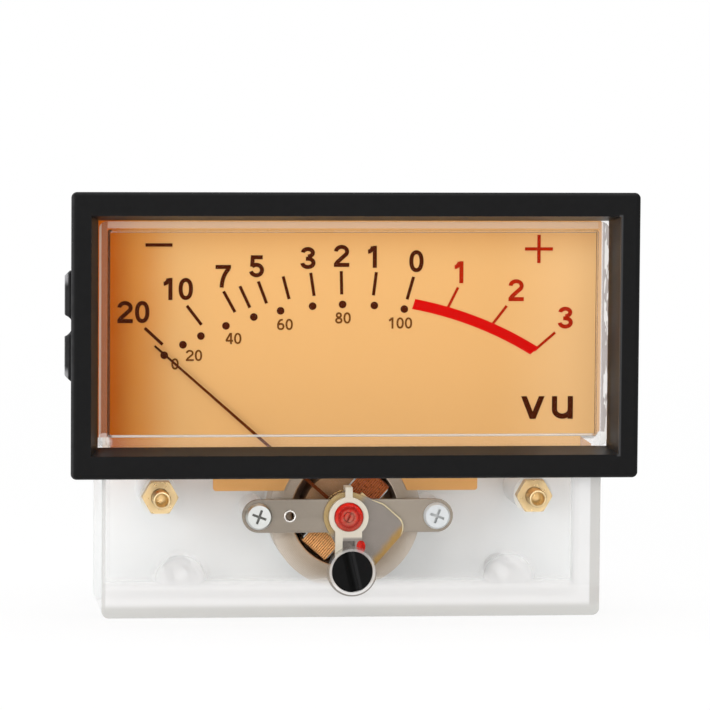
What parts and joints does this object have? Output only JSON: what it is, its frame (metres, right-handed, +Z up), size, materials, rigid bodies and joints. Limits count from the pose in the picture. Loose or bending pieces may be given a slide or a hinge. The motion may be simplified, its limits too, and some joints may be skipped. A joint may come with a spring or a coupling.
{
  "type": "vu meter",
  "caption": "Moving-coil VU meter for panel mounting: black bezel, clear case, amber dial with level and percent scales, needle, zero adjuster and screw terminals behind.",
  "frame": {"origin": "middle of the overall box seen from above, at the flat lower edge of the case", "axes": "+Z up, +X to the right as the dial is read, the dial faces -Y"},
  "size_m": [0.079, 0.0308, 0.0588],
  "materials": {
    "black_plastic": "moulded black plastic, fine satin grain",
    "clear_plastic": "clear moulded plastic, polished",
    "white_plastic": "white moulded plastic",
    "dial_amber": "amber printed sheet",
    "ink_black": "matt printing ink, very dark brown",
    "ink_red": "matt red printing ink",
    "pointer_black": "blackened aluminium sheet",
    "brass": "turned brass",
    "steel": "zinc-plated steel",
    "bridge_grey": "grey plated strip",
    "bridge_plate": "grey plated plate with bare brass edges",
    "red_lacquer": "brass under red locking lacquer",
    "yoke_iron": "plated soft iron",
    "magnet": "sintered magnet",
    "copper": "enamelled copper wire",
    "former": "thin aluminium strip",
    "spring": "bronze strip",
    "lever_cream": "cream moulded plastic",
    "adjuster_black": "black moulded plastic"
  },
  "bodies": {
    "case": {"bezel": "black_plastic", "clear_cover": "clear_plastic", "base": "white_plastic", "dial": "dial_amber", "scale_print_black": "ink_black", "scale_print_red": "ink_red", "pointer_stops": "steel", "dial_screws": "steel", "yoke_ring": "yoke_iron", "core_magnet": "magnet", "core_spacers": "brass", "yoke_screws": "steel", "bridge_strap": "bridge_grey", "strap_screws": "steel", "bridge_plate": "bridge_plate", "front_bush": "red_lacquer", "front_jewel_screw": "red_lacquer", "rear_jewel_screw": "brass", "rear_hairspring": "spring", "terminal_studs": "brass", "terminal_nuts": "brass", "solder_lugs": "steel", "rear_nuts": "brass", "cover_screws": "steel"},
    "pointer": {"pointer": "pointer_black", "balance_weights": "brass", "front_pivot": "steel", "rear_pivot": "steel", "coil_former": "former", "coil_winding": "copper"},
    "zero_lever": {"zero_lever": "lever_cream", "front_hairspring": "spring"},
    "zero_adjuster": {"zero_adjuster": "adjuster_black", "adjuster_clip": "steel"}
  },
  "joints": [
    {"name": "pointer_swing", "type": "hinge", "parent": "case", "child": "pointer", "pos_m": [0, -0.00315, 0.0133], "axis": [0, 1, 0], "range_deg": [-2, 99.5], "stiffness_Nm_per_rad": 0.00002, "deforming": ["front_hairspring", "rear_hairspring"]},
    {"name": "zero_adjust", "type": "hinge", "parent": "case", "child": "zero_adjuster", "pos_m": [0, -0.00945, 0.0063], "axis": [0, 1, 0], "range_deg": [-45, 45]},
    {"name": "zero_lever_turn", "type": "hinge", "parent": "case", "child": "zero_lever", "pos_m": [0, -0.00605, 0.0133], "axis": [0, 1, 0], "range_deg": [-6, 6], "deforming": ["front_hairspring"]}
  ],
  "couplings": [
    {"joint": "zero_lever_turn", "follows": "zero_adjust", "ratio": -0.12903}
  ]
}
